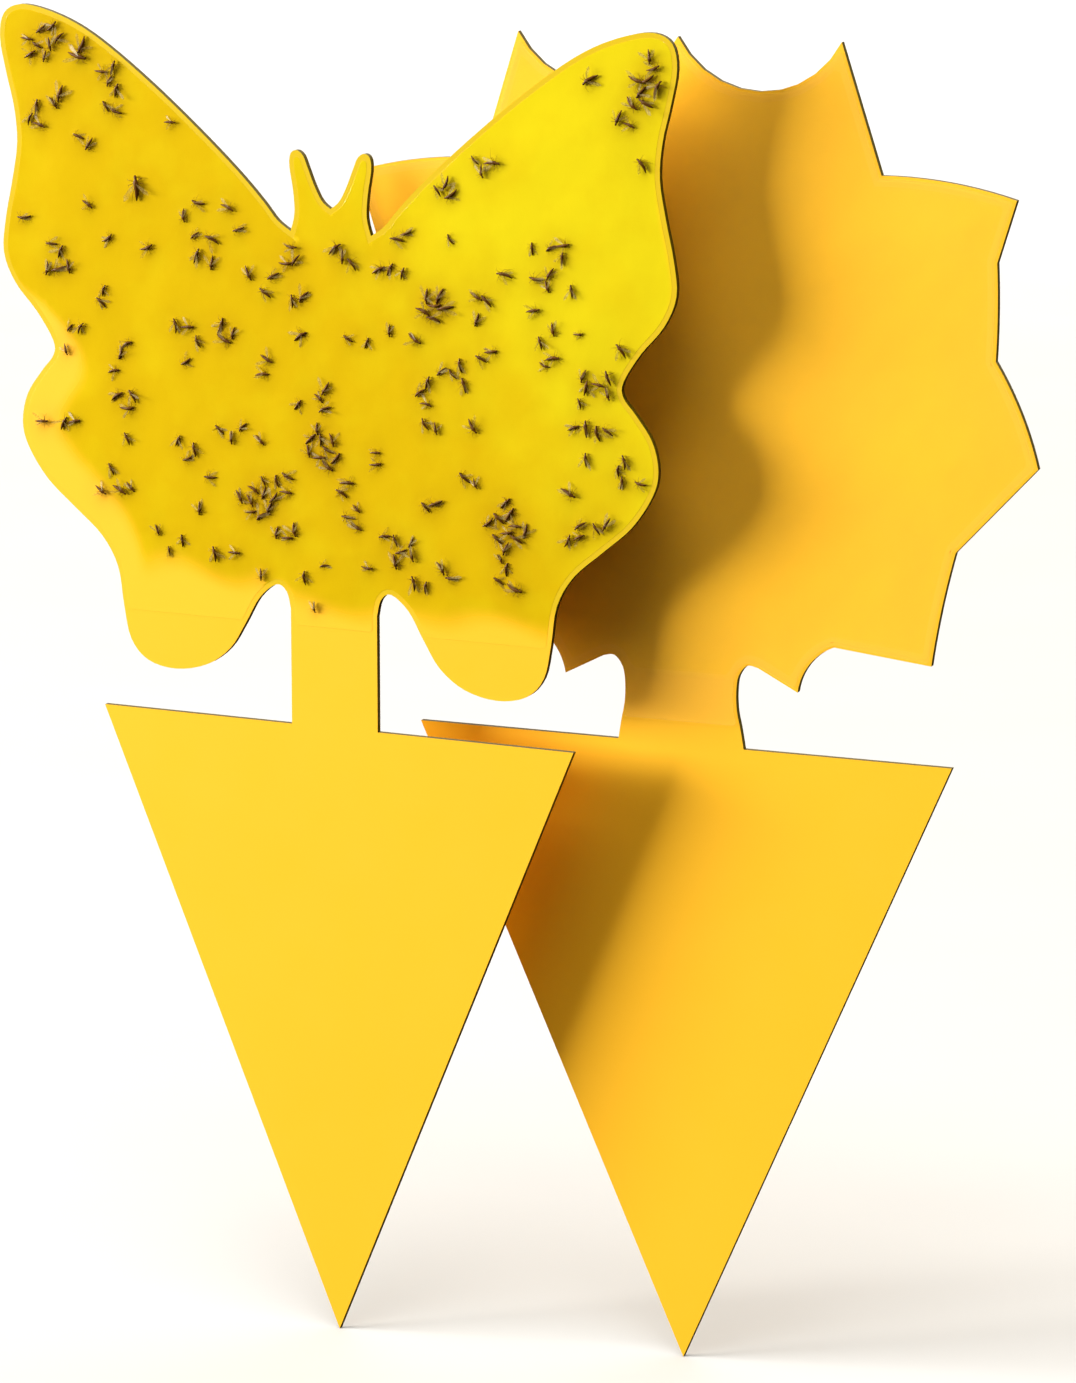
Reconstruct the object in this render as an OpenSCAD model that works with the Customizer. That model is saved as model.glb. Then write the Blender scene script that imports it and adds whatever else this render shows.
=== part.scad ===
// Twin set of sticky insect traps for plant pots: a butterfly card and a flower card.
// Each card is die-cut from one flat plastic sheet, with a pointed stake below a short neck.
// Both faces of each head carry a coat of glue. The flower card is unused, so a clear peel-off
// film still covers each of its coats. The films of the butterfly card are off: it is in use.
//
// X runs along the cards' width, +Y points behind them and +Z is up.
// The origin is the point of the butterfly card's stake, and both points are at Z = 0.

/* [Sheet and glue] */
// Thickness of the plastic sheet
card_t = 1; // [0.4:0.1:2]
// Thickness of each coat of glue
glue_t = 0.15; // [0.1:0.05:0.4]
// Bare margin between the card's edge and the glue
glue_margin = 0.8; // [0.6:0.2:5]
// How far the glue runs down from the top of the neck
glue_down_neck = 2; // [0:0.5:9]
// Thickness of each peel-off film
film_t = 0.1; // [0.05:0.05:0.3]
// Room between a film and the glue below it
film_gap = 0.1; // [0.05:0.05:0.3]
// How far a film stops short of the card's edge
film_margin = 0.4; // [0.2:0.1:0.5]
// How far a film runs down from the top of the neck
film_down_neck = 9; // [9:0.5:12]

/* [Butterfly card] */
// Height from the stake's point to the wing tips
butterfly_h = 210; // [180:1:240]
// Width across the wings
butterfly_w = 115.6; // [90:0.2:140]
// Height of the stake's shoulder
butterfly_shoulder = 99; // [80:1:110]
// Width of the stake at its shoulder
butterfly_stake_w = 82; // [60:1:100]
// Width of the neck
butterfly_neck_w = 15; // [12:0.5:16]

/* [Flower card] */
// Height from the stake's point to the upper petal tips
flower_h = 208.5; // [180:0.5:240]
// Width across the widest petals
flower_w = 115.6; // [90:0.2:140]
// Height of the stake's shoulder
flower_shoulder = 99.5; // [80:0.5:110]
// Width of the stake at its shoulder
flower_stake_w = 89; // [60:1:100]
// Distance of the flower card to the right of the butterfly card
flower_x = 55.5; // [20:0.5:160]
// Distance of the flower card behind the butterfly card
flower_y = 10.5; // [5:0.5:60]
// Lean of the flower card to its left, in degrees
flower_lean = 0.6; // [0:0.1:5]

/* [Hidden] */

// Straight pieces that a curved stretch of an outline is drawn with
curve_steps = 4;
arc_steps = 10;
// Rounding of the glue's and films' corners
soft_corner = 0.5;

// Colours of the sheet, the glue and the film
sheet_colour = "#FDD23C";
glue_colour = "#F2C414";
film_colour = [1, 0.98, 0.9, 0.25];

// The right half of each head, from the neck up to the middle of its top edge. X is measured
// from the card's middle line and Z from the stake's shoulder, in millimetres, on a head of
// the size given here. fitted() stretches the points to the widths and heights set above.
butterfly_drawn = [115.6, 111.3];
butterfly_neck_x = butterfly_neck_w / 2 * butterfly_drawn[0] / butterfly_w;
butterfly_neck_h = 18.5;

// Hind wing with its bottom lobe, the waist, and the fore wing down to the head's notch
butterfly_wing = [
    [butterfly_neck_x, butterfly_neck_h], [8.2, 21.2], [10, 22.2], [13, 19.8],
    [15.5, 15.5], [18.3, 11.2], [22.5, 8.2], [28, 7], [33, 8], [36, 11.2],
    [37.2, 16.5], [38.2, 22.8], [41, 27.6], [45.8, 31.8],
    [50.6, 36], [54, 41], [55, 45], [54, 49.5], [51.3, 53.4], [49.2, 56], [49.2, 58.4],
    [52, 62.8], [55.8, 67.2], [57.8, 72], [57.3, 77.5], [56, 83.5], [55, 89.5],
    [55.4, 95], [56.7, 100.5], [57.7, 106], [56.9, 109.8], [54, 111.3], [49.5, 110.7],
    [44, 108.7], [38.5, 105.5], [31, 100], [23, 93.4], [16, 87.1], [11.6, 82.6],
    [9.2, 79.8], [6.9, 78.2]
];
// Antenna, and the dip between the two antennae
butterfly_antenna = [
    [6.9, 78.2], [6.2, 81], [6.4, 84.5], [7, 88.2], [6.8, 90.2], [5.8, 90.8], [4.7, 90.1],
    [3.9, 88.3], [2.8, 85.6], [1.5, 83.2], [0, 82]
];

flower_drawn = [115.6, 109];
flower_neck_h = 13.2;

// Neck, which flares towards the shoulder, and the small scoop at its top
flower_neck = [
    [10.5, 0], [10, 3], [9.4, 6], [9.3, 9], [9.7, 11.5], [11.1, flower_neck_h], [12.9, 13]
];
// Petal tips and the notches between them: X, Z, and how far the edge that leads on to the
// next point swells out (+) or is scooped in (-)
flower_petals = [
    [12.9, 13, 0], [19.4, 9.7, -1.3], [25.4, 17.2, 0], [41.1, 15.5, -0.3], [44.9, 33.2, 0],
    [57.8, 46.7, 0.7], [51, 62.5, 0.2], [51.1, 77.2, 0], [54.1, 86.6, 0.8],
    [32.8, 89.4, 0], [26.4, 109, -7.8], [0, 109, 0]
];

// Point at t (0 to 1) on the smooth curve from b to c, whose neighbours are a and d
function between(a, b, c, d, t) =
    b + 0.5 * t * (c - a + t * (2 * a - 5 * b + 4 * c - d + t * (3 * b - a - 3 * c + d)));

// Smooth curve through all the points of a list, up to its last point
function smooth(points) =
    let (last = len(points) - 1)
    [
        for (i = [0 : last - 1], s = [0 : curve_steps - 1])
            between(points[max(i - 1, 0)], points[i], points[i + 1],
                points[min(i + 2, last)], s / curve_steps)
    ];

// Circular arc from a up to b, whose middle stands off the straight line by bow, to the right
function arc(a, b, bow) =
    bow == 0 ? [a] :
    let (
        chord = b - a,
        half = norm(chord) / 2,
        right = [chord[1], -chord[0]] / (2 * half),
        radius = (half * half + bow * bow) / (2 * bow),
        centre = (a + b) / 2 + right * (bow - radius),
        from = a - centre,
        turn = 4 * atan(bow / half)
    )
    [
        for (s = [0 : arc_steps - 1])
            let (angle = turn * s / arc_steps)
            centre + [
                from[0] * cos(angle) - from[1] * sin(angle),
                from[0] * sin(angle) + from[1] * cos(angle)
            ]
    ];

// Outline through points that each carry the bow of the edge after them, up to the last one
function bowed(points) =
    [
        for (i = [0 : len(points) - 2], p = arc(
            [points[i][0], points[i][1]], [points[i + 1][0], points[i + 1][1]], points[i][2]
        )) p
    ];

// Head points stretched from the drawn size to the real one and raised to the shoulder
function fitted(points, drawn, size, shoulder) =
    [
        for (p = points)
            [p[0] * size[0] / drawn[0], shoulder + p[1] * size[1] / drawn[1]]
    ];

// Right half outline joined with its mirror image
function both_sides(half) =
    concat(
        half,
        [for (i = [len(half) - 1 : -1 : 0]) if (half[i][0] > 0) [-half[i][0], half[i][1]]]
    );

butterfly_head_h = butterfly_h - butterfly_shoulder;
butterfly_head = fitted(
    concat(smooth(butterfly_wing), smooth(butterfly_antenna), [[0, 82]]),
    butterfly_drawn, [butterfly_w, butterfly_head_h], butterfly_shoulder
);
butterfly_neck_top = butterfly_head[0][1];

flower_head_h = flower_h - flower_shoulder;
flower_head = fitted(
    concat(smooth(flower_neck), bowed(flower_petals), [[0, flower_drawn[1]]]),
    flower_drawn, [flower_w, flower_head_h], flower_shoulder
);
flower_neck_top = flower_shoulder + flower_neck_h * flower_head_h / flower_drawn[1];

module butterfly_outline()
    polygon(both_sides(concat(
        [
            [0, 0], [butterfly_stake_w / 2, butterfly_shoulder],
            [butterfly_neck_w / 2, butterfly_shoulder]
        ],
        butterfly_head
    )));

module flower_outline()
    polygon(both_sides(concat(
        [[0, 0], [flower_stake_w / 2, flower_shoulder]],
        flower_head
    )));

// The part of an outline above a height, drawn in from its edge by a margin
module head_only(height, width, margin)
    offset(r = soft_corner, $fn = 24)
        offset(delta = -margin - soft_corner)
            intersection() {
                children();
                translate([-width, height - margin - soft_corner])
                    square([2 * width, 2 * width]);
            }

// Stands a flat outline up in the XZ plane, from one distance behind the middle to another
module upright(y_from, y_to)
    translate([0, y_to, 0])
        rotate([90, 0, 0])
            linear_extrude(y_to - y_from)
                children();

// Turns the flower card's own middle line to its place in the set
module at_flower()
    translate([flower_x, flower_y, 0])
        rotate([0, -flower_lean, 0])
            children();

card_face = card_t / 2;
glue_face = card_face + glue_t;
film_inside = glue_face + film_gap;
film_outside = film_inside + film_t;

module butterfly_card()
    color(sheet_colour)
        upright(-card_face, card_face)
            butterfly_outline();

module butterfly_glue(y_from)
    color(glue_colour)
        upright(y_from, y_from + glue_t)
            head_only(butterfly_neck_top - glue_down_neck, butterfly_w, glue_margin)
                butterfly_outline();

module butterfly_front_glue() butterfly_glue(-glue_face);

module butterfly_back_glue() butterfly_glue(card_face);

module flower_card()
    color(sheet_colour)
        at_flower()
            upright(-card_face, card_face)
                flower_outline();

module flower_glue(y_from)
    color(glue_colour)
        at_flower()
            upright(y_from, y_from + glue_t)
                head_only(flower_neck_top - glue_down_neck, flower_w, glue_margin)
                    flower_outline();

module flower_front_glue() flower_glue(-glue_face);

module flower_back_glue() flower_glue(card_face);

// A film covers the whole head and ends in a straight edge across the neck, below the glue
module flower_film(y_from)
    color(film_colour)
        at_flower()
            upright(y_from, y_from + film_t)
                head_only(flower_neck_top - film_down_neck, flower_w, film_margin)
                    flower_outline();

module flower_front_film() flower_film(-film_outside);

module flower_back_film() flower_film(film_inside);

butterfly_card();
butterfly_front_glue();
butterfly_back_glue();
flower_card();
flower_front_glue();
flower_back_glue();
flower_front_film();
flower_back_film();
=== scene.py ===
import math

import bpy
import numpy as np
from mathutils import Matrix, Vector
from mathutils.geometry import delaunay_2d_cdt


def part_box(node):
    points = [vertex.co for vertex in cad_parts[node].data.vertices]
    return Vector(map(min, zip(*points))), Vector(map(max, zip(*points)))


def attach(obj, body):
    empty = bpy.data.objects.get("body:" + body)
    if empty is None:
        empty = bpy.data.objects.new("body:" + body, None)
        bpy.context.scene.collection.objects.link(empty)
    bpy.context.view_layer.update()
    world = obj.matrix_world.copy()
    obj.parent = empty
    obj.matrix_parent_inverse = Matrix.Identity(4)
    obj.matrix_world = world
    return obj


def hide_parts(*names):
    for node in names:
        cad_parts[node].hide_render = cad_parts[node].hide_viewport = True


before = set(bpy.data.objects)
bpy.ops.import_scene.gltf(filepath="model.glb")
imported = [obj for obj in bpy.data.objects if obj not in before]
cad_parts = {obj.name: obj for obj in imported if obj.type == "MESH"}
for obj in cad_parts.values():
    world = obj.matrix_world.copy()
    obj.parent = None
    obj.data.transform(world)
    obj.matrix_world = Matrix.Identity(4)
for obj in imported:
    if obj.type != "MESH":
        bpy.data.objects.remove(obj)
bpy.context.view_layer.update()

# Looks for a twin set of sticky insect traps: a butterfly card in use, with its catch of fungus
# gnats, and an unused flower card with its clear films on. The two cards and the films are the
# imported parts. The coats of glue and the gnats are made here. Card points are (x, z) in mm.
MM = 0.001
FRONT, BACK = -1, 1  # which way along Y a face looks
HIND_X, HIND_Z = (20, 40), (-168, -150)  # where the left hind wing sets in, along -X and -Z
HEAD_Z = (117, 122)  # heights over which the neck goes over into the head

# Colours of each material, the darker one first
SHEET_DEEP, SHEET_PALE = "#F6B622", "#F8BA26"
SHEET_SMEAR = "#CFAE0A"
# The cut edges' two colours are painted shade, a dark olive for every edge
CUT_PAINTED_SHADE_DARK, CUT_PAINTED_SHADE_PALE = "#4E4208", "#665810"
# The used glue's bright colour is also a painted sheen over the butterfly's right fore wing
USED_GLUE_DEEP, USED_GLUE_BRIGHT = "#CBA808", "#D6C212"
NEW_GLUE_DEEP, NEW_GLUE_BRIGHT = "#F7B918", "#F9BD1C"
# The brown round caught gnats is partly the glue's stain and partly painted shadow
GLUE_STAIN_AND_SHADE = "#9A6A08"
FILM_STRAW = "#FFDC78"
GNAT_DARK, GNAT_BROWN, GNAT_LEG = "#3C2004", "#6C4208", "#7E540C"
# The wings' silver colour is a painted sheen
WING_SMOKE, WING_PAINTED_SHEEN = "#8E701C", "#CFC080"
PAPER_DARK, PAPER_PALE = "#BDBBB6", "#C1BFBB"


# ---------------------------------------------------------------- small tools
# A Mix node holds one set of sockets for each type of data: these are the colour ones, and
# the numbers' own.
COLOUR_A, COLOUR_B, COLOUR_OUT = 6, 7, 2
NUMBER_A, NUMBER_B = 2, 3


def linear(colour):
    """The sRGB colour "#RRGGBB" as linear RGBA: a channel c is c / 12.92 up to 0.04045, and
    ((c + 0.055) / 1.055) to the power 2.4 above that."""
    channels = [int(colour[i : i + 2], 16) / 255 for i in (1, 3, 5)]
    return [c / 12.92 if c <= 0.04045 else ((c + 0.055) / 1.055) ** 2.4 for c in channels] + [1]


def per_mm(size):
    """The scale of a texture on Object coordinates whose features are this many mm across."""
    return 1 / (size * MM)


def add(owner, kind, inputs=None, **settings):
    """Adds a shader node of one kind, with its settings, to a material or world. Each input, by
    name or number, is linked if its value is another node's socket, and set to it otherwise."""
    made = owner.node_tree.nodes.new("ShaderNode" + kind)
    for name, value in settings.items():
        setattr(made, name, value)
    for name, value in (inputs or {}).items():
        if isinstance(value, bpy.types.NodeSocket):
            owner.node_tree.links.new(value, made.inputs[name])
        else:
            made.inputs[name].default_value = value
    return made


def noise(owner, where, size, detail=2):
    """A noise, mostly near 0.5, whose features are this many mm across."""
    made = add(owner, "TexNoise", {"Vector": where, "Scale": per_mm(size), "Detail": detail})
    return made.outputs["Fac"]


def blend(owner, share, first, second):
    """The colour that goes from the first to the second as share goes from 0 to 1. Each is
    "#RRGGBB" or another node's colour."""
    first, second = (linear(end) if isinstance(end, str) else end for end in (first, second))
    made = add(owner, "Mix", {0: share, COLOUR_A: first, COLOUR_B: second}, data_type="RGBA")
    return made.outputs[COLOUR_OUT]


def scaled(owner, value, to_low, to_high, low=0, high=1, shape="LINEAR"):
    """The number that goes from to_low to to_high as a value goes from low to high, straight or
    in another shape, and stays there beyond."""
    made = add(owner, "MapRange", {"Value": value, "From Min": low, "From Max": high,
                                   "To Min": to_low, "To Max": to_high},
               interpolation_type=shape)
    return made.outputs[0]


def combined(owner, operation, first, second, clamp=False):
    """The sum ("ADD"), product ("MULTIPLY") or larger ("MAXIMUM") of two numbers."""
    made = add(owner, "Math", {0: first, 1: second}, operation=operation, use_clamp=clamp)
    return made.outputs[0]


def bump(owner, strength, depth, height, under=None):
    """The surface's direction tilted by a pattern of heights that is depth mm deep, on top of
    another such tilt if one is given."""
    inputs = {"Strength": strength, "Distance": depth * MM, "Height": height}
    if under is not None:
        inputs["Normal"] = under
    return add(owner, "Bump", inputs).outputs[0]


def on_edge_or_face(owner, place, edge, face):
    """One number on the cut edges and another on the faces. The faces look along Y and every
    cut edge across it, so the share of Y in the surface's direction tells them apart."""
    split = add(owner, "SeparateXYZ", {0: place.outputs["Normal"]})
    along = add(owner, "Math", {0: split.outputs["Y"]}, operation="ABSOLUTE")
    return scaled(owner, along.outputs[0], edge, face, 0.35, 0.65)


def new_material(name):
    """A material with an empty node tree."""
    material = bpy.data.materials.new(name)
    material.use_nodes = True
    material.node_tree.nodes.clear()
    return material


def finish_material(material, **sockets):
    """Closes a material with one Principled shader. Underscores in a socket's name are spaces."""
    inputs = {name.replace("_", " "): value for name, value in sockets.items()}
    shader = add(material, "BsdfPrincipled", inputs)
    add(material, "OutputMaterial", {"Surface": shader.outputs[0]})
    return material


def smoothstep(x, low, high):
    """0 below low, 1 above high, and t * t * (3 - 2 t) between, with t the share of the way."""
    t = np.clip((x - low) / (high - low), 0, 1)
    return t * t * (3 - 2 * t)


def new_piece(name, points, faces, material, body, attributes=None, smooth=True):
    """A mesh piece that rides on a body. points are (n, 3) in metres, faces is a list of index
    arrays with 3, 4 or more corners a row, and attributes are floats for each point."""
    mesh = bpy.data.meshes.new(name)
    mesh.from_pydata(points.tolist(), [], [row for part in faces for row in part.tolist()])
    for key, values in (attributes or {}).items():
        layer = mesh.attributes.new(key, "FLOAT", "POINT")
        layer.data.foreach_set("value", np.ascontiguousarray(values, np.float32))
    mesh.polygons.foreach_set("use_smooth", np.full(len(mesh.polygons), smooth))
    mesh.materials.append(material)
    mesh.update()
    piece = bpy.data.objects.new(name, mesh)
    bpy.context.scene.collection.objects.link(piece)
    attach(piece, body)
    return piece


# ---------------------------------------------------------------- materials

def calendered_pvc_sheet(name, smear):
    """Rigid PVC sheet, 1 mm, dyed yellow right through and rolled between satin drums. The eye
    sees an even satin yellow with a very fine orange peel and faint cloudiness in the dye. Every
    cut edge is painted a dark olive, which is painted shade. The head's bare rim is wet with a
    smear of glue, whose colour is given, but for the left hind wing's."""
    m = new_material(name)
    place = add(m, "TexCoord")
    where = place.outputs["Object"]
    dyed = blend(m, noise(m, where, 28, 3), SHEET_DEEP, SHEET_PALE)
    spot = add(m, "SeparateXYZ", {0: where})
    head = scaled(m, spot.outputs["Z"], 0, 1, HEAD_Z[0] * MM, HEAD_Z[1] * MM, "SMOOTHSTEP")
    off_left = scaled(m, spot.outputs["X"], 0, 1, -HIND_X[1] * MM, -HIND_X[0] * MM, "SMOOTHSTEP")
    off_low = scaled(m, spot.outputs["Z"], 0, 1, -HIND_Z[1] * MM, -HIND_Z[0] * MM, "SMOOTHSTEP")
    smeared = combined(m, "MULTIPLY", head, combined(m, "MAXIMUM", off_left, off_low))
    face = blend(m, smeared, dyed, smear)
    # Painted shade: every cut edge is a dark olive, streaked along drag lines that the knife
    # leaves, 0.25 mm apart through the sheet
    edge = blend(m, noise(m, where, 0.25, 1), CUT_PAINTED_SHADE_DARK, CUT_PAINTED_SHADE_PALE)
    cut = on_edge_or_face(m, place, 1, 0)
    # Satin: roughness wanders between 0.36 and 0.48 over patches of 9 mm
    satin = scaled(m, noise(m, where, 9, 4), 0.36, 0.48)
    # Orange peel of the drums, really 0.2 mm: drawn at 0.5 mm so that it shows
    peel = bump(m, 0.25, 0.012, noise(m, where, 0.5))
    # The cut edge is duller than the faces
    shine = scaled(m, cut, 0.2, 0.02)
    return finish_material(m, Base_Color=blend(m, cut, face, edge), Roughness=satin, IOR=1.53,
                           Specular_IOR_Level=shine, Normal=peel)


def tacky_glue(name, deep, bright, thin):
    """Hot-melt polyisobutylene glue, rolled on and always wet to the touch. The eye sees the
    yellow sheet through it, deeper where the coat is full, with a wet shine on slow ripples and
    a darker brown round each thing that it has caught, partly the glue's stain and partly
    painted shadow. deep, bright and thin are its colours where it is full, where it is full and
    brightest, and where it fades out over the sheet. The bright one carries random tone, and on
    the butterfly a painted sheen as well."""
    m = new_material(name)
    where = add(m, "TexCoord").outputs["Object"]
    full, clear, stain_and_shade = (add(m, "Attribute", attribute_name=key).outputs["Fac"]
                          for key in ("fullness", "painted_sheen_and_tone", "stain_and_shade"))
    # Uneven stirring gives streaks about 7 mm long
    streak = scaled(m, noise(m, where, 7, 3), -0.22, 0.22, 0.25, 0.75)
    # Towards the bright colour: random tone with streaks, and on the butterfly a painted sheen over
    # the right fore wing
    body = blend(m, combined(m, "ADD", clear, streak, clamp=True), deep, bright)
    # Darker brown round each caught gnat, partly the glue's stain and partly painted shadow
    colour = blend(m, stain_and_shade, blend(m, full, thin, body), GLUE_STAIN_AND_SHADE)
    # Wet where the coat is full, and satin like the sheet where it fades out
    wet = scaled(m, full, 0.42, 0.16)
    shine = scaled(m, full, 0.2, 0.3)
    # Slow ripples 3 mm across, over pinhead bubbles of 0.6 mm
    bubbles = bump(m, 0.2, 0.01, noise(m, where, 0.6, 1))
    waves = bump(m, combined(m, "MULTIPLY", full, 0.6), 0.08, noise(m, where, 3), bubbles)
    return finish_material(m, Base_Color=colour, Roughness=wet, IOR=1.51,
                           Specular_IOR_Level=shine, Normal=waves)


def clear_pet_film():
    """PET release film, 0.1 mm, cast clear and silicone coated. The eye sees a faint straw
    haze, hardly any gloss, and a brighter line along its cut rim."""
    m = new_material("clear_pet_film")
    place = add(m, "TexCoord")
    where = place.outputs["Object"]
    haze = scaled(m, noise(m, where, 22), 0.045, 0.075)
    # The slack of the film over the glue, in waves 14 mm long
    slack = bump(m, 0.3, 0.15, noise(m, where, 14))
    return finish_material(m, Base_Color=linear(FILM_STRAW),
                           Alpha=on_edge_or_face(m, place, 0.4, haze), Roughness=0.12,
                           Specular_IOR_Level=0.15, IOR=1.6, Normal=slack)


def gnat_cuticle():
    """Insect cuticle: dark brown and slightly waxy on the body, and amber where the thin legs
    let light through."""
    m = new_material("gnat_cuticle")
    where = add(m, "TexCoord").outputs["Object"]
    limb = add(m, "Attribute", attribute_name="limb").outputs["Fac"]
    # Each gnat is about 2 mm long, so patches of 2.5 mm make one darker than the next
    body = blend(m, noise(m, where, 2.5, 3), GNAT_DARK, GNAT_BROWN)
    # Rings and fine hairs, 0.15 mm apart
    hairs = bump(m, 0.4, 0.02, noise(m, where, 0.15, 1))
    return finish_material(m, Base_Color=blend(m, limb, body, GNAT_LEG), Roughness=0.45,
                           IOR=1.56, Specular_IOR_Level=0.12, Normal=hairs)


def gnat_wing_membrane():
    """Insect wing: a smoky clear membrane on brown veins 0.45 mm apart, soaked with glue in
    patches of 2.2 mm, which are painted silver as a sheen."""
    m = new_material("gnat_wing_membrane")
    where = add(m, "TexCoord").outputs["Object"]
    cells = add(m, "TexVoronoi", {"Vector": where, "Scale": per_mm(0.45)},
                feature="DISTANCE_TO_EDGE")
    vein = scaled(m, cells.outputs["Distance"], 1, 0, 0.02, 0.09)
    soak_and_sheen = noise(m, where, 2.2)
    # Painted sheen: the soaked patches are painted silver, the rest smoky
    skin = blend(m, soak_and_sheen, WING_SMOKE, WING_PAINTED_SHEEN)
    # The skin hides 2 to 34 % of what is behind it, and a vein 35 %
    seen = combined(m, "MAXIMUM", scaled(m, soak_and_sheen, 0.02, 0.34, 0.3, 0.7),
                    combined(m, "MULTIPLY", vein, 0.35))
    return finish_material(m, Base_Color=blend(m, vein, skin, GNAT_BROWN), Alpha=seen,
                           Roughness=0.35, IOR=1.56, Specular_IOR_Level=0.3)


def white_paper():
    """Matt off-white background paper, with the faint unevenness of its pulp."""
    m = new_material("white_paper")
    where = add(m, "TexCoord").outputs["Object"]
    pulp = blend(m, noise(m, where, 60, 4), PAPER_DARK, PAPER_PALE)
    return finish_material(m, Base_Color=pulp, Roughness=0.9, IOR=1.45)


# ---------------------------------------------------------------- outlines
SAME_PLANE = 0.001 * MM  # points no further apart than this along Y are in one plane


def face_outline(node, side):
    """The outline of the flat outer face of a CAD node that looks to one side, as (n, 2, 2)
    edges from point to point in mm with the face on their left. The face is the triangles that
    lie in the outermost plane, and its outline is their edges that no neighbour shares."""
    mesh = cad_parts[node].data
    mesh.calc_loop_triangles()
    points = np.empty(len(mesh.vertices) * 3, np.float32)
    mesh.vertices.foreach_get("co", points)
    corners = np.empty(len(mesh.loop_triangles) * 3, np.int32)
    mesh.loop_triangles.foreach_get("vertices", corners)
    welded, index = np.unique(points.reshape(-1, 3).round(7), axis=0, return_inverse=True)
    triangles = index.ravel()[corners].reshape(-1, 3)
    outermost = (side * welded[:, 1]).max()
    flat = np.abs(side * welded[:, 1] - outermost) < SAME_PLANE
    triangles = triangles[flat[triangles].all(axis=1)]
    edges = np.concatenate([triangles[:, [0, 1]], triangles[:, [1, 2]], triangles[:, [2, 0]]])
    there = edges[:, 0] * len(welded) + edges[:, 1]
    and_back = edges[:, 1] * len(welded) + edges[:, 0]
    rim = edges[~np.isin(there, and_back)]
    if side == BACK:
        rim = rim[:, ::-1]
    return welded[rim][:, :, [0, 2]] / MM


def split_outline(edges, step):
    """The outline's edges cut into pieces no longer than step: the start of each piece, the
    number of the piece that follows it, and the unit normal into the face at it."""
    start, run = edges[:, 0], edges[:, 1] - edges[:, 0]
    length = np.linalg.norm(run, axis=1)
    cuts = np.ceil(length / step).astype(int)
    first = np.cumsum(cuts) - cuts
    edge = np.repeat(np.arange(len(edges)), cuts)
    share = (np.arange(len(edge)) - first[edge]) / cuts[edge]
    starts = start[edge] + run[edge] * share[:, None]
    # The edge after each one is the edge that starts where it ends
    gap = np.linalg.norm(edges[:, None, 1] - start[None], axis=2)
    following = np.arange(len(edge)) + 1
    following[first + cuts - 1] = first[gap.argmin(axis=1)]
    inward = np.stack([-run[:, 1], run[:, 0]], axis=1) / length[:, None]
    return starts, following, inward[edge]


def depth_inside(points, edges):
    """How far each point is inside an outline, in mm, or minus 1 outside it. The depth is the
    distance to the nearest edge, and a point is inside if a line from it crosses an odd number
    of edges."""
    start, run = edges[:, 0], edges[:, 1] - edges[:, 0]
    away = points[:, None] - start[None]
    share = np.clip((away * run).sum(axis=2) / (run * run).sum(axis=1), 0, 1)
    depth = np.linalg.norm(away - share[..., None] * run, axis=2).min(axis=1)
    above = points[:, 1, None, None] > edges[None, :, :, 1]
    crossing = above[..., 0] != above[..., 1]
    rise = np.where(run[:, 1] == 0, 1, run[:, 1])
    meets = start[:, 0] + away[..., 1] * run[:, 0] / rise
    inside = (crossing & (points[:, None, 0] < meets)).sum(axis=1) % 2 == 1
    return np.where(inside, depth, -1)


def triangulate(points, loop):
    """The Delaunay triangles of points inside a closed loop of edges, all counter-clockwise."""
    made = delaunay_2d_cdt(points.tolist(), loop.tolist(), [], 1, 1e-7)
    # The points come back in another order, with a list of the given ones behind each
    order = np.array([given[0] for given in made[3]])
    triangles = order[np.array(made[2])]
    a, b, c = (points[triangles[:, i]] for i in range(3))
    turn = (b - a)[:, 0] * (c - a)[:, 1] - (b - a)[:, 1] * (c - a)[:, 0]
    triangles[turn < 0] = triangles[turn < 0][:, ::-1]
    return triangles


# ---------------------------------------------------------------- the glue, in mm
GLUE_GRID = 0.8      # spacing of a coat's points
RIM_STEPS = (0.02, 0.35, 0.8)  # rows of points that follow the rim: the first keeps it crisp
RIM_HEIGHT = 0.012   # height of a coat at its rim
FILL_WIDTH = 9       # width over which a coat grows from there to its full height
RIPPLE_HEIGHT = 0.02
SUNK = 0.02          # how far a coat's back face goes into the sheet
CLIMB_HEIGHT = 0.1   # how far glue climbs up a gnat
CLIMB_REACH = 0.35   # how far out that reaches, in lengths of the gnat
STAIN_AND_SHADE_MOST = 0.7     # the deepest stain and painted shadow, from 0 to 1
STAIN_AND_SHADE_ONE = 0.22     # how strongly one gnat stains and shades the glue
STAIN_AND_SHADE_REACH = 1.1    # how far out the stain and painted shadow reach, in lengths of the gnat
LEFT_LOBE_X = -12    # left of this, a coat that is rolled by hand ends over the left lobe
LOBE_Z = (119.5, 115.5)  # where it ends over the left lobe, and right of there


def ripples(points, seed, shortest, longest):
    """Slow waves between about -1 and 1: the mean of 7 sine waves whose directions, lengths
    in mm and phases are drawn at random, times 2."""
    draw = np.random.default_rng(seed)
    turn, phase = draw.uniform(0, 2 * math.pi, (2, 7))
    length = draw.uniform(shortest, longest, 7)
    along = points @ np.stack([np.cos(turn), np.sin(turn)]) / length
    return 2 * np.sin(2 * math.pi * along + phase).mean(axis=1)


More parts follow.
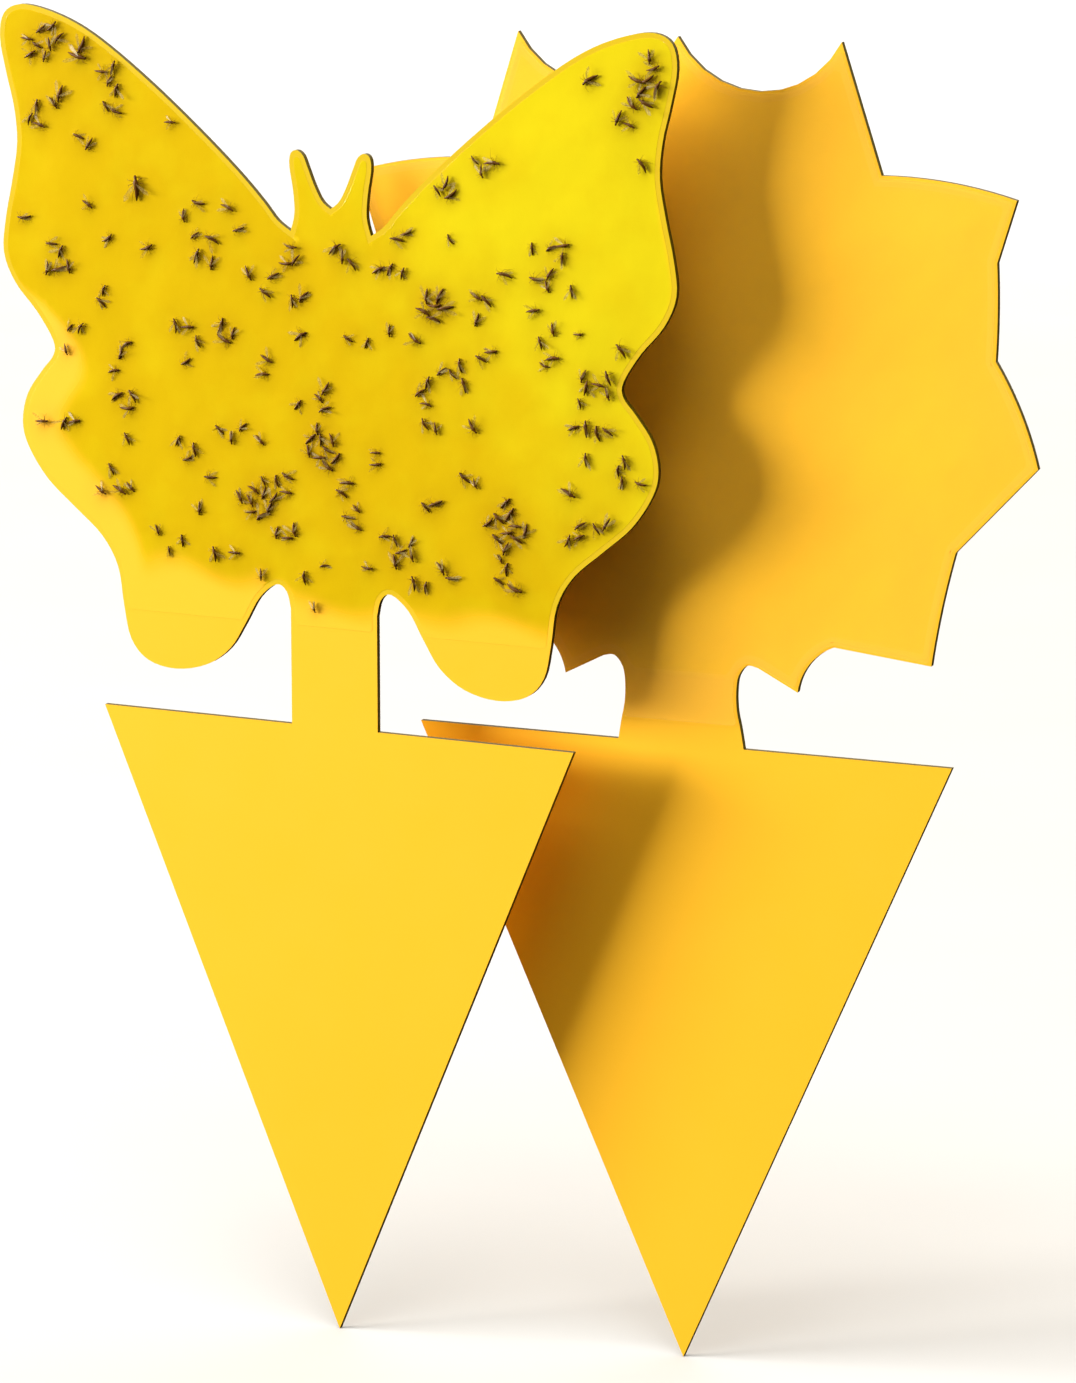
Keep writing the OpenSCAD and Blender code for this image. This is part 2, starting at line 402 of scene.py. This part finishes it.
def glue_coat(name, node, side, body, material, spread, caught=None):
    """A coat of glue in the place of its CAD node. Its height over the sheet grows from
    RIM_HEIGHT to the node's thickness, plus slow ripples, by its fullness times a smooth rise
    across FILL_WIDTH. It closes with a flat back just inside the sheet. spread gives the
    fullness at each point and how far its colour goes to the bright one, which is random tone
    and, on the butterfly, a painted sheen; caught is what it has caught. Glue climbs each gnat
    by CLIMB_HEIGHT * exp(-(r / CLIMB_REACH)^2), with r the distance in lengths of the gnat, and
    the darker brown round the gnats, partly stain and partly painted shadow, is
    STAIN_AND_SHADE_MOST * (1 - exp(-STAIN_AND_SHADE_ONE * sum of exp(-(r /
    STAIN_AND_SHADE_REACH)^2)))."""
    lo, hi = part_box(node)
    thickness = (hi.y - lo.y) / MM
    sheet_face = lo.y if side == BACK else hi.y
    edges = face_outline(node, side)
    rim, following, inward = split_outline(edges, GLUE_GRID)
    # A row has no point where the outline is too narrow for it
    rows = [rim + inward * width for width in RIM_STEPS]
    rows = [row[depth_inside(row, edges) > 0.95 * width] for row, width in zip(rows, RIM_STEPS)]
    low, high = edges.reshape(-1, 2).min(axis=0), edges.reshape(-1, 2).max(axis=0)
    across, up = [np.arange(a, b, GLUE_GRID) for a, b in zip(low, high)]
    grid = np.stack(np.meshgrid(across, up), axis=-1)
    grid[1::2, :, 0] += GLUE_GRID / 2
    grid = grid.reshape(-1, 2)
    # The grid starts a little further in than the last row
    grid = grid[depth_inside(grid, edges) > RIM_STEPS[-1] + 0.4 * GLUE_GRID]
    loop = np.stack([np.arange(len(rim)), following], axis=1)
    points = np.concatenate([rim, *rows, grid])
    front, behind = triangulate(points, loop), triangulate(rim, loop)

    depth = depth_inside(points, edges).clip(0)
    depth[: len(rim)] = 0
    fullness, painted_sheen_and_tone = spread(points, depth)
    filled = fullness * smoothstep(depth, 0, FILL_WIDTH)
    waves = ripples(points, seed=5, shortest=6, longest=17)
    height = RIM_HEIGHT + (thickness - RIM_HEIGHT + RIPPLE_HEIGHT * waves) * filled
    stain_and_shade = np.zeros(len(points))
    if caught is not None:
        gap = np.linalg.norm(points[:, None] - caught[None, :, :2], axis=2) / caught[:, 2]
        height += CLIMB_HEIGHT * np.exp(-((gap / CLIMB_REACH) ** 2)).sum(axis=1).clip(0, 1)
        # Darker brown round each caught gnat, partly the glue's stain and partly painted shadow
        near = np.exp(-((gap / STAIN_AND_SHADE_REACH) ** 2)).sum(axis=1)
        stain_and_shade = STAIN_AND_SHADE_MOST * (1 - np.exp(-STAIN_AND_SHADE_ONE * near))

    outer = np.stack([points[:, 0] * MM, sheet_face + side * height * MM, points[:, 1] * MM], 1)
    inner = np.stack([rim[:, 0] * MM, np.full(len(rim), sheet_face - side * SUNK * MM),
                      rim[:, 1] * MM], 1)
    wall = np.stack([loop[:, 1], loop[:, 0], loop[:, 0] + len(outer), loop[:, 1] + len(outer)], 1)
    faces = [front, behind[:, ::-1] + len(outer), wall]
    if side == BACK:
        faces = [part[:, ::-1] for part in faces]
    none = np.zeros(len(inner))
    coat = new_piece(name, np.concatenate([outer, inner]), faces, material, body, {
        "fullness": np.concatenate([fullness, none]),
        "painted_sheen_and_tone": np.concatenate([painted_sheen_and_tone, none]),
        "stain_and_shade": np.concatenate([stain_and_shade, none]),
    })
    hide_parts(node)
    return coat


def hand_rolled(points, depth):
    """The butterfly's coat. It is full up to the rim on the fore wings, leaves a bare margin of
    4 mm on the left hind wing, and fades out towards the bottom lobes and the neck. Towards the
    right fore wing, at the upper right, its colour goes over to the bright one as a painted
    sheen. All its borders wander by 1 mm or so."""
    x, z = points[:, 0], points[:, 1]
    wander = ripples(points, seed=11, shortest=9, longest=26)
    hind = smoothstep(-x, *HIND_X) * smoothstep(-z, *HIND_Z)
    margin = -0.8 + 4.8 * hind + 0.5 * wander
    ends_at = np.where(x < LEFT_LOBE_X, *LOBE_Z) + 1.2 * wander
    fullness = smoothstep(depth, margin - 0.8, margin + 0.9 + 2 * hind)
    fullness = fullness * smoothstep(z, ends_at, ends_at + 5)
    # Painted sheen: the bright colour comes in towards the upper right, with a little random tone
    # from the wander
    painted_sheen_and_tone = smoothstep(x + 0.9 * (z - 168), -10, 45) + 0.12 * wander
    return fullness, painted_sheen_and_tone.clip(0, 1)


def machine_rolled(points, depth):
    """The flower's unused coat: as full as can be from a narrow margin inwards, and all even."""
    return smoothstep(depth, 0, 1.5), 0.5 + 0.15 * ripples(points, seed=17, shortest=18, longest=50)


# ---------------------------------------------------------------- the gnats
# Groups on the butterfly's front: x, z, spread (mm), how many, and size against a usual gnat
GROUPS = [
    (-50, 203.5, 3.5, 8, 1), (-43.5, 203.3, 1, 2, 1.3), (-37, 199, 1.8, 4, 1),
    (-48, 196.7, 2.5, 2, 1), (-51, 193, 1.5, 3, 1), (-38.5, 194, 1.8, 2, 1),
    (-43.5, 189, 1.8, 2, 1), (-29, 194, 2.2, 2, 1), (-52.5, 184.5, 3.2, 2, 1),
    (-33.5, 182.5, 0.3, 1, 1.5), (-25, 180, 2.8, 2, 1), (-22, 174, 2.6, 3, 1),
    (-48, 170, 2.8, 5, 1), (-40, 165, 2.2, 2, 1), (-45, 161, 1.8, 2, 1), (-26, 162, 2.2, 2, 1),
    (-18.3, 161, 1.6, 3, 1), (-12, 168.3, 3, 3, 1), (-5.5, 166, 1.5, 2, 1), (-7, 173.6, 2, 4, 1),
    (-35, 156.8, 2.6, 2, 1), (-24, 156.5, 2.4, 2, 1), (-12, 155, 2.1, 2, 1),
    (-36, 150, 3.4, 3, 1), (-2, 151, 1.7, 3, 1), (-46.7, 144.8, 1.6, 2, 1.2),
    (-18, 146.3, 2.8, 3, 1), (-25.3, 141, 2.6, 3, 1), (-2.5, 142.8, 2.9, 9, 1),
    (-12.3, 134.8, 2.1, 9, 1), (-7.5, 138, 1.6, 3, 1), (-36, 134.3, 1.2, 2, 1),
    (-7.7, 129.2, 1.9, 3, 1), (-29, 126.8, 2.8, 2, 1), (-18.8, 125.5, 2, 2, 1),
    (-3.5, 117.3, 2, 2, 1), (2.3, 173.5, 2, 3, 1), (10, 171.2, 2, 2, 1), (13, 177, 1.3, 2, 1),
    (19.5, 185, 2, 3, 1), (25.8, 190, 2.4, 3, 1), (43.5, 203, 0.3, 1, 1.4),
    (53.7, 204.3, 0.9, 4, 1.1), (53.5, 201.3, 1.7, 4, 1.1), (51, 198, 2.4, 3, 1),
    (53.3, 190, 2.8, 2, 1), (18, 166.6, 1.9, 6, 1.15), (26, 167, 2.1, 3, 1),
    (37.8, 176, 2.2, 3, 1), (36.5, 170.3, 2.6, 3, 1), (39.5, 165, 2.8, 2, 1),
    (5.3, 159.5, 2.8, 2, 1), (20, 157.5, 1.7, 3, 1), (26.5, 159.5, 2.2, 2, 1),
    (35.5, 159.5, 2.4, 2, 1), (16, 154, 2.4, 3, 1), (44.5, 156.5, 2.4, 5, 1),
    (42, 151.5, 2.8, 3, 1), (46.5, 148.3, 1.6, 2, 1), (7.8, 142.5, 2.3, 2, 1),
    (4, 136.7, 2.8, 3, 1), (3.8, 133, 1.8, 2, 1), (17.2, 135.2, 2, 2, 1),
    (17, 148.5, 1, 2, 1), (23, 140.3, 1, 2, 1), (30.5, 134.7, 2.4, 9, 1.1),
    (30, 129, 1.8, 3, 1), (30.5, 126.7, 3.2, 2, 1), (11.8, 129, 2.1, 6, 1),
    (15.5, 122.7, 0.8, 2, 1), (41, 133.7, 1.8, 3, 1), (45.4, 135, 1.1, 2, 1),
    (48, 143, 2, 3, 1), (53, 142, 1.1, 2, 1),
]
# Loose gnats keep off these near-empty patches of the front: x, z, radius
EMPTY = [(41, 188, 13), (33, 146, 7), (-30, 112, 10), (28, 112, 10), (30, 196, 6), (-38, 124, 8)]
BACK_GROUPS = [(-30, 170, 6, 7, 1), (12, 150, 5, 8, 1), (35, 190, 6, 6, 1), (-8, 135, 4, 6, 1),
               (38, 140, 5, 5, 1), (-42, 195, 5, 5, 1)]
GNAT_ROOM = 1.9      # mm between the middles of neighbours
GNAT_LENGTH = 2.25   # mm from head to tail
RIM_ROOM = 1.2       # mm from a gnat's middle to the glue's rim
LEG_PAIRS = 3


def pushed_apart(places, room):
    """Places in the plane after 12 rounds in which each moves away from every neighbour closer
    than room, by half of what the gap between them lacks."""
    not_itself = 1000 * np.eye(len(places))
    for _ in range(12):
        away = places[:, None] - places[None]
        gap = np.linalg.norm(away, axis=2) + not_itself
        lack = np.clip(room - gap, 0, None) / gap
        places = places + 0.5 * (away * lack[..., None]).sum(axis=1)
    return places


def scatter(groups, empty, pitch, keep, edges, seed):
    """Where the gnats are: x, z and body length in mm, a row for each. A group's gnats lie at
    an even random turn about its centre, within its spread. Loose ones lie on a jittered grid
    of the given pitch, of which the share keep is used, off the groups and the empty patches.
    Gnats closer than GNAT_ROOM are pushed apart, and those that are then closer than RIM_ROOM
    to the glue's rim are left out."""
    draw = np.random.default_rng(seed)
    groups = np.array(groups, float)
    owner = np.repeat(np.arange(len(groups)), groups[:, 3].astype(int))
    turn = draw.uniform(0, 2 * math.pi, len(owner))
    reach = groups[owner, 2] * draw.uniform(0.1, 1, len(owner)) ** 0.6
    grouped = groups[owner, :2] + reach[:, None] * np.stack([np.cos(turn), np.sin(turn)], 1)
    low, high = edges.reshape(-1, 2).min(axis=0), edges.reshape(-1, 2).max(axis=0)
    across, up = [np.arange(a, b, pitch) for a, b in zip(low, high)]
    loose = np.stack(np.meshgrid(across, up), axis=-1).reshape(-1, 2)
    loose = loose + draw.uniform(-0.45, 0.45, loose.shape) * pitch
    loose = loose[draw.uniform(0, 1, len(loose)) < keep]
    apart = np.linalg.norm(loose[:, None] - grouped[None], axis=2).min(axis=1)
    loose = loose[apart > 0.6 * pitch]
    if empty:
        patches = np.array(empty, float)
        clear = np.linalg.norm(loose[:, None] - patches[None, :, :2], axis=2) > patches[:, 2]
        loose = loose[clear.all(axis=1)]
    size = np.concatenate([groups[owner, 4], np.ones(len(loose))])
    size = size * draw.normal(1, 0.1, len(size)).clip(0.75, 1.25) * GNAT_LENGTH
    places = pushed_apart(np.concatenate([grouped, loose]), GNAT_ROOM)
    kept = depth_inside(places, edges) > RIM_ROOM
    return np.column_stack([places, size])[kept]


# In a gnat's own axes u runs from tail to head, v to its left and w out of the glue, and its
# body is 1 long. Each shape below gives its points, (gnats, ..., 3), and one gnat's faces.

def gnat_bodies(bend, lift):
    """Lathed bodies with a profile of brow, head, neck, humped thorax and tapered abdomen. They
    are bent sideways by bend * u * u, and stand out of the glue by lift."""
    along = np.array([0.5, 0.42, 0.35, 0.2, 0.02, -0.26, -0.5])
    radius = np.array([0.03, 0.075, 0.05, 0.12, 0.095, 0.08, 0.025])
    hump = np.array([-0.02, 0, 0.01, 0.04, 0.02, 0, -0.01])
    sides = 5
    turn = np.arange(sides) / sides * 2 * math.pi
    rings = np.empty((len(bend), len(along), sides, 3))
    rings[..., 0] = along[:, None]
    rings[..., 1] = radius[:, None] * np.cos(turn) + (bend[:, None] * along**2)[..., None]
    rings[..., 2] = lift[:, None, None] + (hump[:, None] + radius[:, None] * np.sin(turn))
    ring = np.arange(len(along) - 1)[:, None] * sides
    side_a = np.arange(sides)
    side_b = (side_a + 1) % sides
    skin = np.stack([ring + side_a, ring + side_a + sides, ring + side_b + sides,
                     ring + side_b], axis=-1).reshape(-1, 4)
    ends = np.stack([side_a, side_a[::-1] + (len(along) - 1) * sides])
    return rings, [skin, ends]


def gnat_legs(draw, bend, lift):
    """Six legs, each a spike from hip to knee to foot whose section is a triangle at the hip, a
    smaller one at the knee and a point at the foot. Their turns are from straight ahead."""
    legs = 2 * LEG_PAIRS
    shape = (len(bend), legs)
    left = np.repeat([1, -1], LEG_PAIRS)
    hip_u = np.tile([0.26, 0.2, 0.12], 2)
    hip_v = 0.05 * left + bend[:, None] * hip_u**2
    swing = np.radians(np.tile([55, 95, 140], 2)) + draw.normal(0, 0.3, shape)
    knee_turn = swing + np.radians(np.tile([15, 25, 20], 2)) + draw.normal(0, 0.45, shape)
    thigh = np.tile([0.26, 0.26, 0.32], 2)
    shin = np.tile([0.3, 0.35, 0.5], 2) * draw.uniform(0.5, 1.1, shape)
    knee_rise = draw.uniform(-0.02, 0.12, shape)
    hip = np.stack([np.broadcast_to(hip_u, shape), hip_v, np.broadcast_to(lift[:, None], shape)],
                   axis=-1)
    knee = hip + np.stack([thigh * np.cos(swing), left * thigh * np.sin(swing), knee_rise],
                          axis=-1)
    foot = knee + np.stack([shin * np.cos(knee_turn), left * shin * np.sin(knee_turn),
                            np.zeros(shape)], axis=-1)
    foot[..., 2] = -0.01
    joints = np.stack([hip, knee], axis=2)
    facing = np.stack([swing, (swing + knee_turn) / 2], axis=2)
    across = np.stack([-np.sin(facing), left[:, None] * np.cos(facing), np.zeros(facing.shape)],
                      axis=-1)
    thick = np.array([0.014, 0.011])[:, None]
    ridge = np.array([0, 0, 1.4])
    limbs = np.stack([joints + across * thick, joints - across * thick,
                      joints + ridge * thick], axis=3)
    # A left leg is a right one's mirror image, so its corners go round the other way
    limbs[:, left > 0] = limbs[:, left > 0][:, :, :, [1, 0, 2]]
    points = np.concatenate([limbs.reshape(*shape, 6, 3), foot[:, :, None]], axis=2)
    corner = np.arange(3)
    after = (corner + 1) % 3
    thighs = np.stack([corner, after, after + 3, corner + 3], axis=-1)
    shins = np.stack([corner + 3, after + 3, np.full(3, 6)], axis=-1)
    hip_cap = [[2, 1, 0]]
    leg_of = np.arange(legs)[:, None, None] * points.shape[2]
    return points, [(leg_of + thighs).reshape(-1, 4),
                    (leg_of + np.concatenate([shins, hip_cap])).reshape(-1, 3)]


def gnat_wings(draw, lift):
    """Two wings, each a six-cornered blade 0.024 thick that goes from the thorax back at an
    angle to the tail, sloping down to the glue or standing off it."""
    shape = (len(lift), 2)
    blade = np.array([[0, 0.02], [0.3, 0.1], [0.75, 0.14], [1, 0.03], [0.8, -0.1], [0.3, -0.06]])
    half_thick = np.array([0, 0, 0.012])
    hand = np.array([1, -1])
    spread = math.pi - draw.uniform(0.1, 1, shape)
    length = draw.uniform(0.65, 0.95, shape)
    pitch = draw.normal(-0.12, 0.12, shape)
    c, s = np.cos(spread)[..., None], np.sin(spread)[..., None]
    u = length[..., None] * (blade[:, 0] * c - blade[:, 1] * s)
    v = hand[:, None] * length[..., None] * (blade[:, 0] * s + blade[:, 1] * c)
    w = lift[:, None, None] + 0.13 + pitch[..., None] * blade[:, 0]
    sheet = np.stack([u + 0.18, v + hand[:, None] * 0.05, w.clip(0.02)], axis=-1)
    both = np.stack([sheet + half_thick, sheet - half_thick], axis=2)
    # The right wing is the left one's mirror image, so its corners go round the other way
    both[:, 1] = both[:, 1, :, ::-1]
    corner = np.arange(len(blade))
    after = (corner + 1) % len(blade)
    caps = np.stack([corner[::-1], corner + len(blade)])
    rim = np.stack([corner, after, after + len(blade), corner + len(blade)], axis=-1)
    wing_of = np.arange(2)[:, None, None] * 2 * len(blade)
    return both, [(wing_of + caps).reshape(-1, len(blade)), (wing_of + rim).reshape(-1, 4)]


def stuck_gnats(name, places, side, surface, seed):
    """The bodies and the wings of a catch of gnats, as two pieces. Each gnat is turned to a
    random heading, scaled to its length and set at its place on the card."""
    draw = np.random.default_rng(seed)
    count = len(places)
    heading = draw.uniform(0, 2 * math.pi, count)
    bend = draw.uniform(-0.45, 0.45, count)
    lift = draw.uniform(0.06, 0.14, count)

    def placed(local):
        """A shape's points as (n, 3) in metres: turned in the card's plane by the heading,
        scaled, and moved to the gnat's place."""
        shape = (count,) + (1,) * (local.ndim - 2)
        c, s = np.cos(heading).reshape(shape), np.sin(heading).reshape(shape)
        size = places[:, 2].reshape(shape)
        u, v, w = local[..., 0], local[..., 1], local[..., 2]
        x = places[:, 0].reshape(shape) - side * size * (u * c - v * s)
        z = places[:, 1].reshape(shape) + size * (u * s + v * c)
        y = surface / MM + side * size * w
        return np.stack([x, y, z], axis=-1).reshape(-1, 3) * MM

    def repeated(faces, points, first=0):
        """One gnat's faces for every gnat, each further by its share of a shape's points."""
        gnat = np.arange(count)[:, None, None] * (len(points) // count)
        return [(gnat + part + first).reshape(-1, part.shape[1]) for part in faces]

    body, body_faces = gnat_bodies(bend, lift)
    legs, leg_faces = gnat_legs(draw, bend, lift)
    wings, wing_faces = gnat_wings(draw, lift)
    body, legs, wings = placed(body), placed(legs), placed(wings)
    new_piece(name, np.concatenate([body, legs]),
              repeated(body_faces, body) + repeated(leg_faces, legs, len(body)),
              CUTICLE, "butterfly_trap",
              {"limb": np.concatenate([np.zeros(len(body)), np.ones(len(legs))])})
    new_piece(name.replace("gnats", "gnat_wings"), wings, repeated(wing_faces, wings),
              MEMBRANE, "butterfly_trap", smooth=False)


# ---------------------------------------------------------------- the pieces
USED_SHEET = calendered_pvc_sheet("calendered_pvc_sheet_in_use", SHEET_SMEAR)
NEW_SHEET = calendered_pvc_sheet("calendered_pvc_sheet", SHEET_PALE)
PET = clear_pet_film()
CUTICLE, MEMBRANE = gnat_cuticle(), gnat_wing_membrane()
USED_GLUE = tacky_glue("tacky_glue_in_use", USED_GLUE_DEEP, USED_GLUE_BRIGHT, SHEET_PALE)
NEW_GLUE = tacky_glue("tacky_glue_under_film", NEW_GLUE_DEEP, NEW_GLUE_BRIGHT, SHEET_PALE)

for node, material in [("butterfly_card", USED_SHEET), ("flower_card", NEW_SHEET),
                       ("flower_front_film", PET), ("flower_back_film", PET)]:
    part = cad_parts[node]
    part.data.materials.clear()
    part.data.materials.append(material)

front_edges = face_outline("butterfly_front_glue", FRONT)
front_catch = scatter(GROUPS, EMPTY, pitch=4.4, keep=0.13, edges=front_edges, seed=3)
back_catch = scatter(BACK_GROUPS, [], pitch=7.5, keep=0.5, edges=front_edges, seed=8)

glue_coat("glue_butterfly_front", "butterfly_front_glue", FRONT, "butterfly_trap", USED_GLUE,
          hand_rolled, front_catch)
glue_coat("glue_butterfly_back", "butterfly_back_glue", BACK, "butterfly_trap", USED_GLUE,
          hand_rolled, back_catch)
glue_coat("glue_flower_front", "flower_front_glue", FRONT, "flower_trap", NEW_GLUE,
          machine_rolled)
glue_coat("glue_flower_back", "flower_back_glue", BACK, "flower_trap", NEW_GLUE,
          machine_rolled)

front_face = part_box("butterfly_front_glue")[0].y
back_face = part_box("butterfly_back_glue")[1].y
stuck_gnats("front_gnats", front_catch, FRONT, front_face, seed=21)
stuck_gnats("back_gnats", back_catch, BACK, back_face, seed=22)


# ---------------------------------------------------------------- floor, light and camera
FLOOR_SIZE = 12.0          # metres
AIM = Vector((34.8, 0, 108.0)) * MM
BEHIND = Vector((0, 2.8, 0))        # middle of the paper behind the object
CAMERA_TURN, CAMERA_RISE, CAMERA_AWAY = 24.5, 12.62, 0.8466   # degrees, degrees, metres
CAMERA_LENS = 143.17       # mm, on a 36 mm sensor
LEFT_LIGHT, RIGHT_LIGHT, BACK_LIGHT = 0.08, 0.26, 0.6   # brightness of the studio round it
BELOW, ABOVE = 0.1, 1.5    # what that is multiplied by low down and high up
FILL_TINT, BACK_TINT = "#FFEBCC", "#FFFFFF"   # colours of the studio in front and behind
# Name, target, turn and rise in degrees, distance, width and height in metres, and watts
SOFT_BOXES = [
    ("key_light", AIM, -63, 11, 2.2, 1.0, 0.7, 112),
    ("top_light", AIM, -5, 72, 1.3, 0.9, 0.9, 17),
    ("backdrop_light", BEHIND, 0, 90, 1.35, 5.5, 3, 140),
]


def away_from(target, turn, rise, distance):
    """The point at a distance from a target, turned to the right of its front (-Y) and risen
    above level, in degrees."""
    turn, rise = math.radians(turn), math.radians(rise)
    level = math.cos(rise)
    return target + distance * Vector((level * math.sin(turn), -level * math.cos(turn),
                                       math.sin(rise)))


def stand(name, data, target, turn, rise, distance):
    """Puts a light or camera away from a target and turns it to look at it."""
    made = bpy.data.objects.new(name, data)
    made.location = away_from(target, turn, rise, distance)
    made.rotation_euler = (target - made.location).to_track_quat("-Z", "Y").to_euler()
    bpy.context.scene.collection.objects.link(made)
    return made


def soft_box(name, target, turn, rise, distance, width, height, power):
    """A rectangular studio light that looks at a target."""
    data = bpy.data.lights.new(name, "AREA")
    data.shape = "RECTANGLE"
    data.size, data.size_y = width, height
    data.energy = power
    stand(name, data, target, turn, rise, distance)


def studio_world():
    """A dim warm studio in front of the object, darker on the left, and a bright white wall
    behind it. Both get brighter with height."""
    made = bpy.data.worlds.new("studio")
    made.use_nodes = True
    made.node_tree.nodes.clear()
    way = add(made, "SeparateXYZ", {0: add(made, "TexCoord").outputs["Generated"]})
    front = scaled(made, way.outputs["X"], LEFT_LIGHT, RIGHT_LIGHT, -0.5, 0.15, "SMOOTHSTEP")
    behind = scaled(made, way.outputs["Y"], 0, 1, -0.1, 0.3, "SMOOTHSTEP")
    rise = scaled(made, way.outputs["Z"], BELOW, ABOVE, -0.6, 0.7, "SMOOTHSTEP")
    level = add(made, "Mix", {0: behind, NUMBER_A: front, NUMBER_B: BACK_LIGHT}).outputs[0]
    light = add(made, "Background", {"Color": blend(made, behind, FILL_TINT, BACK_TINT),
                                     "Strength": combined(made, "MULTIPLY", level, rise)})
    add(made, "OutputWorld", {"Surface": light.outputs[0]})
    return made


floor_mesh = bpy.data.meshes.new("floor")
half = FLOOR_SIZE / 2
floor_mesh.from_pydata([(-half, -half, 0), (half, -half, 0), (half, half, 0), (-half, half, 0)],
                       [], [(0, 1, 2, 3)])
floor_mesh.materials.append(white_paper())
floor = bpy.data.objects.new("floor", floor_mesh)
bpy.context.scene.collection.objects.link(floor)
# The cards are lit by the studio alone, as if the paper's own glow had been flagged off
floor.visible_diffuse = floor.visible_glossy = floor.visible_shadow = False

bpy.context.scene.world = studio_world()
for box in SOFT_BOXES:
    soft_box(*box)

camera_data = bpy.data.cameras.new("camera")
camera_data.lens = CAMERA_LENS
bpy.context.scene.camera = stand("camera", camera_data, AIM, CAMERA_TURN, CAMERA_RISE,
                                 CAMERA_AWAY)
bpy.context.scene.view_settings.view_transform = "Standard"
